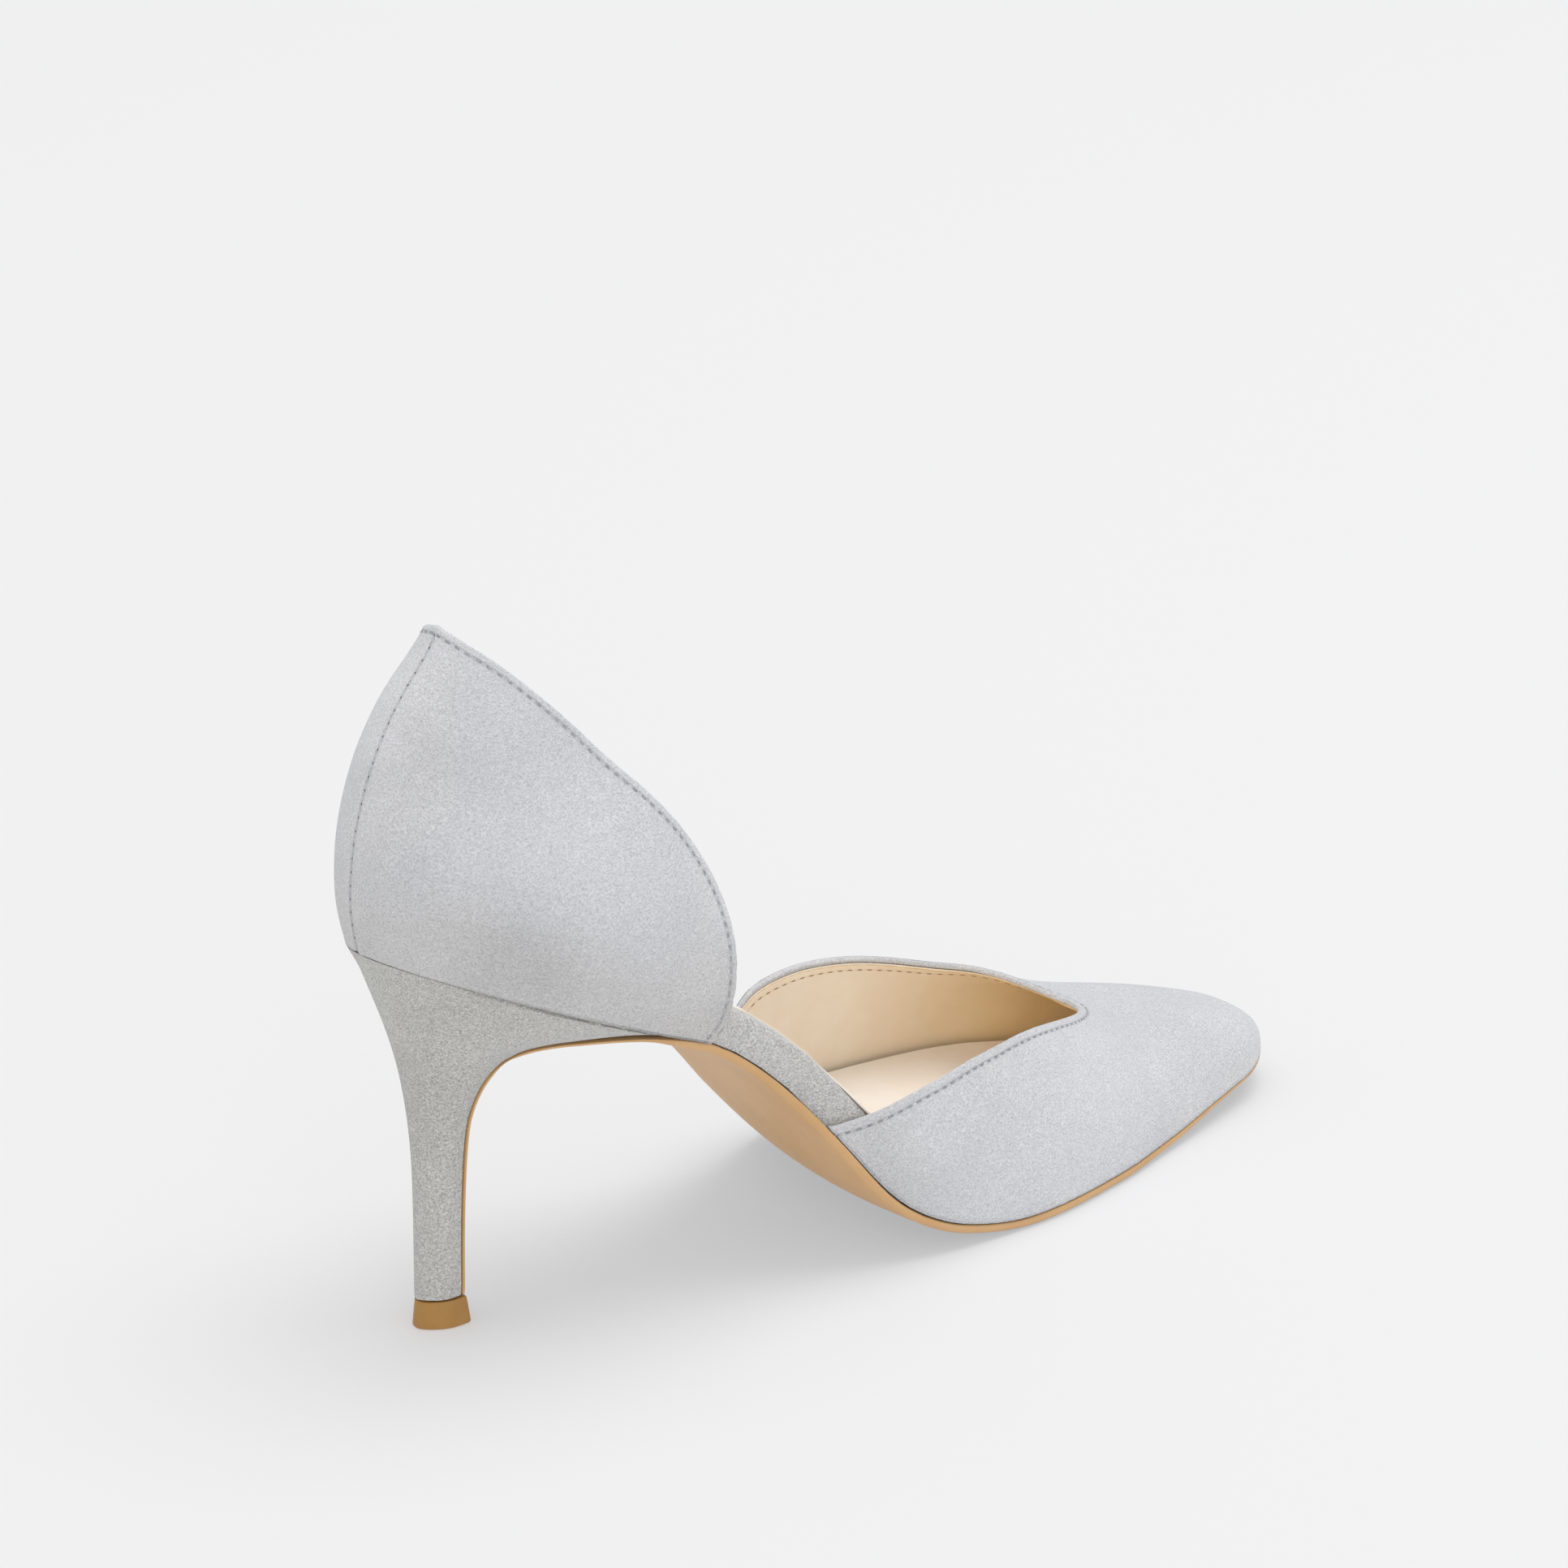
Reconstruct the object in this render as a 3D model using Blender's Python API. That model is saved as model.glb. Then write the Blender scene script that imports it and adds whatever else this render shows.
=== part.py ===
"""A slim-heeled court shoe for the right foot, open at both sides of the waist.

The toe points to +X and the inner side of the foot to +Y. The last's own lengths start at the
back of its heel seat, and at the end the shoe is moved so that the origin is under its middle.
"""

import math

import bmesh
import bpy
import numpy as np
from mathutils import Matrix

# Driving sizes, in millimetres
LENGTH = 227.5
BALL_WIDTH = 70.0
HEEL_HEIGHT = 82.4
INSTEP = 50.0
BACK_HEIGHT = 65.2
WALL = 1.7
SOLE = 2.0
PAD = 7.6
TIP_HEIGHT = 6.2
GAP = 0.3
METRES = 0.001

# Roundness of the last's ends
HEEL_ROUND = 35.8
TOE_ROUND = 11.7
CROWN_ROUND = 9.3

# How far the back of the heel seat is tucked in under the quarter
SEAT_TUCK = 1.8

# Places along the last, as shares of its length
SEAT_FRONT = 0.250
SOLE_JOIN = 0.272
QUARTER_CORNER = 0.289
THROAT = 0.801
BACK_TURN = 0.176

# Edges of the sole, the footbed and the heel's tip
SOLE_EDGE_DEPTH = 0.55
SOLE_BEVEL = 0.9
SOLE_BEVEL_SHARE = 0.3
PAD_EDGE_ROUND = 1.6
PAD_EDGE_SHARE = 0.5
PAD_TUCK_SHARE = 0.4
PAD_SQUARE_END = 0.26
PAD_SQUARE_FADE = 0.14
TIP_BEVEL = 0.5
TIP_FLARE = 0.6

# Share of the quarter's rise over which its wall turns square to its outer face
QUARTER_SQUARE_FADE = 0.3

# Steps of each surface
VAMP_WING_STEPS = 17
VAMP_TOE_STEPS = 16
VAMP_GIRTH_STEPS = 10
QUARTER_STEPS = 24
QUARTER_GIRTH_STEPS = 10
SOLE_STEPS = 56
SOLE_GIRTH_STEPS = 5
PAD_STEPS = 60
HEEL_ROW_STEPS = 2
HEEL_SIDE_STEPS = 14
RAIL_STEPS = 160
SOLE_FIRST_STEP = 0.02
SOLE_STEP_POWER = 0.9

# Points of a piece closer than this, in metres, are one
WELD = 1e-6


def columns(names, rows):
    return dict(zip(names.split(), np.array(rows, float).T))


# The last, a row for each section from the heel to the toe: its place along the length, the rise
# of its bed over the tread, its half widths, how far its inner edge twists up, how far the sole
# reaches past it, the sole's thickness, how far it bellies out, how far the footbed stays
# inside the last, and the footbed's thickness
LAST = columns("along rise outer inner twist welt sole belly inset pad", [
    (0.000, 1.000, 0.270, 0.270, 0.0, 2.0, 1.00, 0.0, 0.0, 0.75),
    (0.110, 0.878, 0.346, 0.346, 0.0, 2.0, 1.00, 0.0, 0.0, 0.80),
    (0.170, 0.806, 0.360, 0.360, 0.0, 1.8, 1.00, 0.0, 0.0, 0.90),
    (0.240, 0.718, 0.338, 0.342, 0.0, 1.4, 1.00, 0.0, 0.0, 1.00),
    (0.305, 0.638, 0.328, 0.315, 0.6, 0.7, 1.00, 0.2, 0.0, 1.00),
    (0.360, 0.517, 0.350, 0.305, 1.8, 0.6, 1.00, 0.6, 0.0, 1.00),
    (0.410, 0.352, 0.389, 0.318, 2.8, 2.2, 1.00, 1.3, 0.2, 1.00),
    (0.475, 0.126, 0.445, 0.390, 5.4, 2.5, 1.00, 3.0, 0.5, 0.92),
    (0.540, 0.034, 0.469, 0.484, 1.2, 2.6, 1.00, 0.9, 0.7, 0.85),
    (0.615, 0.000, 0.463, 0.537, 0.0, 2.6, 1.00, 0.0, 0.9, 0.75),
    (0.735, 0.000, 0.379, 0.508, 0.0, 2.6, 1.00, 0.0, 1.2, 0.59),
    (0.815, 0.006, 0.284, 0.428, 0.0, 2.6, 0.85, 0.0, 1.8, 0.45),
    (0.900, 0.033, 0.187, 0.336, 0.0, 2.3, 0.50, 0.0, 2.6, 0.32),
    (1.000, 0.058, 0.064, 0.166, 0.0, 1.9, 0.32, 0.0, 3.6, 0.26),
])

# The forepart's sections, by their place along the length: how far the ridge leans to the inner
# side, its height over the bed, and how full the section is on its outer and inner sides
RIDGE = columns("along lean crown outer_full inner_full", [
    (0.400, 0.057, 0.870, 2.44, 2.70),
    (0.475, 0.064, 1.012, 2.44, 2.70),
    (0.540, 0.068, 0.997, 2.44, 2.70),
    (0.615, 0.068, 0.886, 2.44, 2.80),
    (0.730, -0.001, 0.639, 2.44, 3.32),
    (0.815, -0.009, 0.435, 2.44, 4.87),
    (0.900, -0.030, 0.335, 2.44, 3.19),
    (1.000, -0.021, 0.172, 2.44, 2.60),
])

# The vamp's topline from each wing's end to the throat: its place along the length, and its
# share of the girth from the feather line up to the ridge
TOPLINE = columns("outer_along outer_girth inner_along inner_girth", [
    (0.405, 0.000, 0.460, 0.000),
    (0.430, 0.074, 0.476, 0.096),
    (0.460, 0.189, 0.490, 0.193),
    (0.500, 0.305, 0.518, 0.321),
    (0.550, 0.404, 0.560, 0.419),
    (0.615, 0.521, 0.610, 0.511),
    (0.690, 0.649, 0.670, 0.563),
    (0.745, 0.765, 0.720, 0.610),
    (0.780, 0.895, 0.760, 0.800),
    (0.801, 1.000, 0.801, 1.000),
])

# The quarter's topline as it is cut flat, from the peak to the front corner: share of the way
# round the heel, and share of the back's height
QUARTER = columns("step reach rise", [
    (0.000, 0.000, 1.000),
    (0.062, 0.085, 0.973),
    (0.203, 0.266, 0.878),
    (0.349, 0.449, 0.771),
    (0.517, 0.661, 0.664),
    (0.640, 0.806, 0.554),
    (0.748, 0.912, 0.418),
    (0.869, 0.990, 0.244),
    (0.961, 1.022, 0.055),
    (1.000, 1.000, 0.000),
])

# How far the quarter swells past its seat, by share of the back's height: at the back and at
# the sides
SWELL = columns("rise back side", [
    (0.000, 0.0, 0.0),
    (0.045, 2.6, 0.6),
    (0.183, 6.6, 1.9),
    (0.365, 9.8, 1.0),
    (0.548, 10.8, -1.5),
    (0.731, 9.7, -5.2),
    (0.944, 5.3, -10.4),
])

# The heel, a row for each section from the tip up to the seat: the back edge and the breast
# edge as shares of the length and of the heel's height, the half width at the breast, and the
# thickness of the sole on the breast
HEEL = columns("back_x back_z breast_x breast_z half flap", [
    (0.0525, 0.0752, 0.0879, 0.0752, 0.0587, 0.45),
    (0.0532, 0.2427, 0.0881, 0.2431, 0.0624, 0.45),
    (0.0541, 0.4010, 0.0887, 0.4260, 0.0751, 0.50),
    (0.0518, 0.5320, 0.0905, 0.5549, 0.0969, 0.50),
    (0.0433, 0.6774, 0.1154, 0.6939, 0.1521, 0.50),
    (0.0323, 0.7874, 0.1545, 0.7296, 0.2337, 0.50),
    (0.0209, 0.8730, 0.1930, 0.7312, 0.2944, 0.50),
    (0.0107, 0.9455, 0.2332, 0.7221, 0.3376, 0.55),
])


def smooth(table, key, column, at):
    """A column's value between its rows: a cubic that never swings past them."""
    x, y = table[key], table[column]
    step = np.diff(x)
    rise = np.diff(y) / step
    slope = np.concatenate([rise[:1], np.zeros(len(x) - 2), rise[-1:]])
    for k in range(1, len(x) - 1):
        if rise[k - 1] * rise[k] > 0:
            before = 2 * step[k] + step[k - 1]
            after = step[k] + 2 * step[k - 1]
            slope[k] = (before + after) / (before / rise[k - 1] + after / rise[k])
    at = np.clip(np.asarray(at, float), x[0], x[-1])
    k = np.clip(np.searchsorted(x, at) - 1, 0, len(step) - 1)
    t = (at - x[k]) / step[k]
    u = 1 - t
    return (y[k] * (1 + 2 * t) * u * u + slope[k] * step[k] * t * u * u
            + y[k + 1] * (1 + 2 * u) * t * t - slope[k + 1] * step[k] * u * t * t)


def last(column, x):
    return smooth(LAST, "along", column, np.asarray(x) / LENGTH)


def ease(t):
    t = np.clip(t, 0, 1)
    return t * t * (3 - 2 * t)


def rounded(t):
    """A quarter circle from 0 to 1."""
    return np.sqrt(1 - (1 - np.clip(t, 0, 1)) ** 2)


def bed(x, side=-1):
    """Height of the sole's upper face at its outer (-1) or inner (+1) edge, which the upper and
    the footbed stand on."""
    return SOLE + (HEEL_HEIGHT - SOLE) * last("rise", x) + last("twist", x) * (1 + side) / 2


def bed_normal(x):
    reach = 0.5
    slope = (bed(x + reach) - bed(x - reach)) / (2 * reach)
    return np.stack([-slope, np.ones_like(slope)], -1) / np.hypot(slope, 1)[..., None]


def middle(x):
    return BALL_WIDTH * (last("inner", x) - last("outer", x)) / 2


def edge(x, side, grow):
    """The last's outline in plan on its inner (+1) or outer (-1) side, let out by grow."""
    half = BALL_WIDTH * (last("inner", x) + last("outer", x)) / 2 + grow
    heel = rounded((x + grow - SEAT_TUCK) / (HEEL_ROUND + grow))
    toe = rounded((LENGTH + grow - x) / (TOE_ROUND + grow))
    return middle(x) + side * half * heel * toe


def vamp_point(x, side, girth, inside):
    """A point of the vamp: girth runs from the feather line (0) to the ridge (1), and inside is
    the depth under its outer face."""
    grow = GAP + WALL - inside
    along = x / LENGTH
    left = LENGTH + grow - x
    lean = BALL_WIDTH * smooth(RIDGE, "along", "lean", along)
    ridge = middle(x) + lean * rounded(left / (TOE_ROUND + grow))
    crown = INSTEP * smooth(RIDGE, "along", "crown", along) - inside
    crown = crown * rounded(left / (CROWN_ROUND + grow))
    angle = girth * math.pi / 2
    power = 2 / smooth(RIDGE, "along", "inner_full" if side > 0 else "outer_full", along)
    out = np.cos(angle).clip(0) ** power
    up = np.sin(angle).clip(0) ** power
    y = ridge + (edge(x, side, grow) - ridge) * out
    z = bed(x, side) * (1 - up) + (bed(x) + crown) * up + GAP
    return np.stack([x + 0 * y, y, z], -1)


def vamp_grid(side, inside):
    """One side of the vamp, a row for each section from the wing's end to the toe."""
    name = "inner" if side > 0 else "outer"
    tip = TOPLINE[name + "_along"][0]
    wing = np.linspace(0, 1, VAMP_WING_STEPS + 1)
    x_wing = LENGTH * (tip + (THROAT - tip) * wing)
    top_wing = smooth(TOPLINE, name + "_along", name + "_girth", x_wing / LENGTH)
    toe = LENGTH + GAP + WALL - inside
    t = np.linspace(0, 1, VAMP_TOE_STEPS + 1)[1:]
    x_toe = LENGTH * THROAT + (toe - LENGTH * THROAT) * np.sin(t * math.pi / 2)
    x = np.concatenate([x_wing, x_toe])
    top = np.concatenate([top_wing, np.ones(VAMP_TOE_STEPS)])
    share = np.linspace(0, 1, VAMP_GIRTH_STEPS + 1)
    return vamp_point(x[:, None], side, top[:, None] * share, inside)


def seat_pitch():
    front = LENGTH * SEAT_FRONT
    return math.atan2(bed(0.0) - bed(front), front)


def quarter_grid(side, inside):
    """One side of the quarter, a row for each line from its seat up to its topline, at a depth
    inside its outer face."""
    grow = GAP + WALL
    pitch = seat_pitch()
    up = np.array([math.sin(pitch), 0, math.cos(pitch)])
    forward = np.array([math.cos(pitch), 0, -math.sin(pitch)])
    t = np.linspace(0, math.pi / 2, RAIL_STEPS)
    back = SEAT_TUCK - grow
    x = back + (LENGTH * QUARTER_CORNER - back) * (1 - np.cos(t))
    rail = np.stack([x, edge(x, side, grow), bed(x, side) + GAP], -1)
    run = np.concatenate([[0], np.cumsum(np.linalg.norm(np.diff(rail, axis=0), axis=1))])
    tangent = np.gradient(rail, axis=0)
    tangent[0] = (0, side, 0)
    outward = np.cross(up, tangent) * side
    outward /= np.linalg.norm(outward, axis=1, keepdims=True)

    step = np.linspace(0, 1, QUARTER_STEPS + 1)[:, None]
    share = np.linspace(0, 1, QUARTER_GIRTH_STEPS + 1)
    reach = step + (smooth(QUARTER, "step", "reach", step) - step) * share
    rise = smooth(QUARTER, "step", "rise", step) * share
    length = reach * run[-1]
    foot = np.stack([np.interp(length, run, rail[:, k]) for k in range(3)], -1)
    foot = foot + np.clip(length - run[-1], 0, None)[..., None] * forward
    normal = np.stack([np.interp(length, run, outward[:, k]) for k in range(3)], -1)
    side_share = ease(length / (LENGTH * BACK_TURN))
    swell = (smooth(SWELL, "rise", "back", rise) * (1 - side_share)
             + smooth(SWELL, "rise", "side", rise) * side_share)
    face = foot + BACK_HEIGHT * rise[..., None] * up + swell[..., None] * normal

    across = np.gradient(face, axis=0)
    across[0] = (0, side, 0)
    square = np.cross(np.gradient(face, axis=1), across) * side
    square /= np.linalg.norm(square, axis=2, keepdims=True).clip(WELD)
    turned = ease(share / QUARTER_SQUARE_FADE) * (step < 1)
    depth = normal + (square - normal) * turned[..., None]
    return face - inside * depth / np.linalg.norm(depth, axis=2, keepdims=True)


def seat_shape():
    """Half of the heel seat's outline: shares of its length, and of its half width."""
    grow = GAP + WALL
    share = 1 - np.cos(np.linspace(0, math.pi / 2, HEEL_SIDE_STEPS + 1))
    back = SEAT_TUCK - grow
    x = back + (LENGTH * SEAT_FRONT - back) * share
    half = np.abs(edge(x, 1, grow))
    return share, half / half[-1]


def seat_loop(back, breast, half):
    """The seat's outline drawn in to a section between a back edge and a breast edge."""
    share, width = seat_shape()
    x = back[0] + (breast[0] - back[0]) * share
    z = back[1] + (breast[1] - back[1]) * share
    outer = np.stack([x, -half * width, z], -1)
    inner = np.stack([x, half * width, z], -1)
    return np.concatenate([outer[::-1], inner[1:]])


def heel_rows():
    """The heel's table worked out in millimetres, with rows added between its own."""
    rows = len(HEEL["half"])
    table = dict(HEEL, row=np.arange(rows, dtype=float))
    at = np.linspace(0, rows - 1, (rows - 1) * HEEL_ROW_STEPS + 1)
    read = {name: smooth(table, "row", name, at) for name in HEEL}
    back = np.stack([read["back_x"] * LENGTH, read["back_z"] * HEEL_HEIGHT], -1)
    breast = np.stack([read["breast_x"] * LENGTH, read["breast_z"] * HEEL_HEIGHT], -1)
    return back, breast, read["half"] * BALL_WIDTH, read["flap"] * SOLE


def heel_loops():
    back, breast, half, _ = heel_rows()
    loops = [seat_loop(*row) for row in zip(back, breast, half)]
    grow = GAP + WALL
    front = LENGTH * SEAT_FRONT
    seat = seat_loop((SEAT_TUCK - grow, 0), (front, 0), 1)
    side = np.where(np.arange(len(seat)) <= HEEL_SIDE_STEPS, -1, 1)
    seat[:, 1] = edge(seat[:, 0], side, grow)
    seat[:, 2] = bed(seat[:, 0])
    return loops + [seat]


def tip_loops():
    back, breast, half, flap = heel_rows()
    start = back[0][0]
    end = breast[0][0] + GAP + flap[0]
    levels = [(0.0, TIP_FLARE - TIP_BEVEL), (TIP_BEVEL, TIP_FLARE), (TIP_HEIGHT - GAP, 0.0)]
    return [seat_loop((start - flare, z), (end + flare, z), half[0] + flare) for z, flare in levels]


def sole_loops():
    """Sections of the sole from the toe, up the arch and down the heel's breast."""
    toe = LENGTH + last("welt", LENGTH)
    join = LENGTH * SOLE_JOIN
    t = np.linspace(SOLE_FIRST_STEP, 1, SOLE_STEPS)
    x = toe - (toe - join) * (1 - np.cos(t * math.pi / 2)) ** SOLE_STEP_POWER
    sides = [edge(x, side, last("welt", x)) for side in (-1, 1)]
    face = np.stack([x, bed(x)], -1)
    normal = bed_normal(x)
    thick = SOLE * last("sole", x)

    back, breast, half, flap = heel_rows()
    turn = np.gradient(breast, axis=0)
    away = np.stack([turn[:, 1], -turn[:, 0]], -1) / np.hypot(turn[:, 0], turn[:, 1])[:, None]
    face = np.concatenate([face, (breast + GAP * away)[::-1]])
    normal = np.concatenate([normal, -away[::-1]])
    thick = np.concatenate([thick, flap[::-1]])
    sides = [np.concatenate([sides[0], -half[::-1]]), np.concatenate([sides[1], half[::-1]])]

    twist = np.concatenate([last("twist", x), np.zeros(len(half))])
    belly = np.concatenate([last("belly", x), np.zeros(len(half))])
    edges = [np.concatenate([-BALL_WIDTH * last("outer", x), -half]),
             np.concatenate([BALL_WIDTH * last("inner", x), half])]
    across = np.linspace(0, 1, SOLE_GIRTH_STEPS + 1)
    loops = []
    for k in range(len(face)):
        outer, inner = sides[0][k], sides[1][k]
        bevel = min(SOLE_BEVEL, SOLE_BEVEL_SHARE * (inner - outer))
        section = [(0, inner), (0, outer), (SOLE_EDGE_DEPTH * thick[k], outer)]
        for share in across:
            depth = thick[k] + belly[k] * 4 * share * (1 - share)
            section.append((depth, outer + bevel + (inner - outer - 2 * bevel) * share))
        section.append((SOLE_EDGE_DEPTH * thick[k], inner))
        lift = twist[k] / (edges[1][k] - edges[0][k])
        loops.append([(face[k][0] - depth * normal[k][0], y,
                       face[k][1] - depth * normal[k][1] + lift * (y - edges[0][k]))
                      for depth, y in section])
    return np.array(loops)


def pad_loops():
    """Sections of the footbed from its back to its toe, with rounded upper edges."""
    start = SEAT_TUCK + GAP / 2
    end = LENGTH - last("inset", LENGTH) - GAP / 2
    t = np.linspace(0, math.pi, PAD_STEPS + 1)
    x = start + (end - start) * (1 - np.cos(t)) / 2
    normal = bed_normal(x)
    thick = PAD * last("pad", x)
    loops = []
    for k in range(len(x)):
        inset = last("inset", x[k])
        upright = ease((x[k] / LENGTH - PAD_SQUARE_END) / PAD_SQUARE_FADE)
        corner = min(PAD_EDGE_ROUND, PAD_EDGE_SHARE * thick[k])
        top = GAP + thick[k]
        cut = corner * (1 - math.sqrt(0.5))
        profile = [(GAP, 0.0), (top - corner, 0.0), (top - cut, cut), (top, corner)]
        loop = []
        for side in (-1, 1):
            half = []
            for height, tuck in profile:
                at = x[k] + normal[k][0] * height
                y = edge(x[k] + upright * normal[k][0] * height, side, -inset)
                y = y - side * min(tuck, PAD_TUCK_SHARE * abs(y - middle(x[k])))
                half.append((at, y, bed(x[k], side) + normal[k][1] * height))
            loop += half if side < 0 else half[::-1]
        loops.append(loop)
    return np.array(loops)


def material(name, colour, roughness):
    made = bpy.data.materials.new(name)
    made.use_nodes = True
    shader = made.node_tree.nodes["Principled BSDF"]
    shader.inputs["Base Color"].default_value = (*colour, 1)
    shader.inputs["Roughness"].default_value = roughness
    return made


def finish(name, shape, paint):
    """Turns a bmesh into a named object, welded and with its faces outward."""
    bmesh.ops.remove_doubles(shape, verts=shape.verts, dist=WELD)
    bmesh.ops.recalc_face_normals(shape, faces=shape.faces)
    mesh = bpy.data.meshes.new(name)
    shape.to_mesh(mesh)
    shape.free()
    mesh.materials.append(paint)
    made = bpy.data.objects.new(name, mesh)
    bpy.context.scene.collection.objects.link(made)
    return made


def add_sheet(shape, grid):
    """Adds a lattice of points to a bmesh as quads."""
    rows = [[shape.verts.new(point * METRES) for point in row] for row in grid]
    for low, high in zip(rows, rows[1:]):
        for k in range(len(low) - 1):
            shape.faces.new((low[k], low[k + 1], high[k + 1], high[k]))
    return rows


def walled(name, lattice, open_rows, paint):
    """A hollow piece from the lattices of its outer and inner faces on both sides. Its rim runs
    along the whole feather line, and along the topline of its first rows."""
    shape = bmesh.new()
    for side in (-1, 1):
        outer = add_sheet(shape, lattice(side, 0.0))
        inner = add_sheet(shape, lattice(side, WALL))
        for column, rows in ((0, len(outer)), (-1, open_rows)):
            for k in range(rows - 1):
                shape.faces.new((outer[k][column], outer[k + 1][column],
                                 inner[k + 1][column], inner[k][column]))
    return finish(name, shape, paint)


def lofted(name, loops, paint, strips):
    """A solid through closed loops, its ends closed by strips across or by one face."""
    shape = bmesh.new()
    rows = [[shape.verts.new(np.array(point) * METRES) for point in loop] for loop in loops]
    count = len(rows[0])
    for low, high in zip(rows, rows[1:]):
        for k in range(count):
            after = (k + 1) % count
            shape.faces.new((low[k], low[after], high[after], high[k]))
    for row in (rows[0], rows[-1]):
        if not strips:
            shape.faces.new(row)
            continue
        half = count // 2
        shape.faces.new((row[half - 1], row[half], row[half + 1]))
        for k in range(half - 1):
            shape.faces.new((row[k], row[k + 1], row[count - 2 - k], row[count - 1 - k]))
    return finish(name, shape, paint)


def stand_over_origin(made):
    """Moves the shoe so that the origin is under the middle of its box."""
    points = np.array([corner.co for piece in made for corner in piece.data.vertices])
    low, high = points.min(axis=0), points.max(axis=0)
    move = Matrix.Translation((-(low[0] + high[0]) / 2, -(low[1] + high[1]) / 2, -low[2]))
    for piece in made:
        piece.data.transform(move)


def main():
    for old in list(bpy.data.objects):
        bpy.data.objects.remove(old, do_unlink=True)
    suede = (0.60, 0.62, 0.66)
    cream = (0.85, 0.73, 0.63)
    tan = (0.62, 0.42, 0.24)
    brown = (0.38, 0.20, 0.07)
    made = [
        walled("vamp", vamp_grid, VAMP_WING_STEPS + 1, material("vamp", suede, 0.9)),
        walled("quarter", quarter_grid, QUARTER_STEPS + 1, material("quarter", suede, 0.9)),
        lofted("insole", pad_loops(), material("insole", cream, 0.6), False),
        lofted("outsole", sole_loops(), material("outsole", tan, 0.5), False),
        lofted("heel", heel_loops(), material("heel", suede, 0.9), True),
        lofted("heel_tip", tip_loops(), material("heel_tip", brown, 0.5), True),
    ]
    stand_over_origin(made)


main()
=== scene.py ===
import math

import bmesh
import bpy
import numpy as np
from mathutils import Matrix, Vector, noise
from mathutils.bvhtree import BVHTree
from mathutils.kdtree import KDTree


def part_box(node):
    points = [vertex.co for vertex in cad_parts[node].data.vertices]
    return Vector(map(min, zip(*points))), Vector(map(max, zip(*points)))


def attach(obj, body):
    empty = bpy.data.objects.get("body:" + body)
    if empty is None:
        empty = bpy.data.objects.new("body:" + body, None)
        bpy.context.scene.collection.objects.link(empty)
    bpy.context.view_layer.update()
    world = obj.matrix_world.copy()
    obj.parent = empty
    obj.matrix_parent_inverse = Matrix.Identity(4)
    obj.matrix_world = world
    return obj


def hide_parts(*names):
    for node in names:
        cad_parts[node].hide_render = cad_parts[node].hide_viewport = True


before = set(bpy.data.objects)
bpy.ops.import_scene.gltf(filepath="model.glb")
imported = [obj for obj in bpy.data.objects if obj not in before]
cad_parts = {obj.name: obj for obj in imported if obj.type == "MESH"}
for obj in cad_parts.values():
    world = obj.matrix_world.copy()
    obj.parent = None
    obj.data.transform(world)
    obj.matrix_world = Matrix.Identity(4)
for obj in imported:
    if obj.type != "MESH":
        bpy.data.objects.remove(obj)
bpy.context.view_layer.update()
mm = 0.001
weldGap = 0.002 * mm   # vertices closer than this are one
lineStep = 0.25 * mm   # spacing of the points that stand for an edge


# ways of working on a mesh

def pick(piece):
    bpy.ops.object.select_all(action="DESELECT")
    piece.hide_set(False)
    piece.select_set(True)
    bpy.context.view_layer.objects.active = piece


def openMesh(piece, kind="VERT"):
    pick(piece)
    bpy.context.tool_settings.mesh_select_mode = [kind == k for k in ("VERT", "EDGE", "FACE")]
    bpy.ops.object.mode_set(mode="EDIT")


def closeMesh():
    bpy.ops.object.mode_set(mode="OBJECT")


def applyModifier(piece, kind, **values):
    pick(piece)
    modifier = piece.modifiers.new(kind.title(), kind)
    for name, value in values.items():
        setattr(modifier, name, value)
    bpy.ops.object.modifier_apply(modifier=modifier.name)


def copyNode(nodeName, pieceName):
    # a CAD node is loose triangles, so its copy is merged and turned into quads
    piece = bpy.data.objects.new(pieceName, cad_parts[nodeName].data.copy())
    bpy.context.scene.collection.objects.link(piece)
    piece.data.materials.clear()
    openMesh(piece)
    bpy.ops.mesh.select_all(action="SELECT")
    bpy.ops.mesh.remove_doubles(threshold=weldGap)
    bpy.ops.mesh.tris_convert_to_quads(face_threshold=math.radians(40), shape_threshold=math.radians(60))
    bpy.ops.mesh.customdata_custom_splitnormals_clear()
    closeMesh()
    return piece


def skinsOf(nodeName, sharp):
    # the outer and the inner skin of a hollow node, cut apart along its sharp edges
    piece = copyNode(nodeName, nodeName + "Skins")
    openMesh(piece, "EDGE")
    bpy.ops.mesh.select_all(action="DESELECT")
    bpy.ops.mesh.edges_select_sharp(sharpness=math.radians(sharp))
    bpy.ops.mesh.edge_split(type="EDGE")
    bpy.ops.mesh.select_all(action="SELECT")
    bpy.ops.mesh.separate(type="LOOSE")
    closeMesh()
    parts = list(bpy.context.selected_objects)
    parts.sort(key=lambda o: -sum(f.area for f in o.data.polygons))
    skins = sorted(parts[:2], key=lambda o: -np.ptp([v.co.y for v in o.data.vertices]))
    for left in parts[2:]:
        bpy.data.objects.remove(left)
    for skin in skins:  # a sharp edge inside a skin is closed again
        openMesh(skin)
        bpy.ops.mesh.select_all(action="SELECT")
        bpy.ops.mesh.remove_doubles(threshold=weldGap)
        closeMesh()
    print(nodeName, "skins", [len(o.data.polygons) for o in skins], "rims", len(parts) - 2)
    return skins


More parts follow.
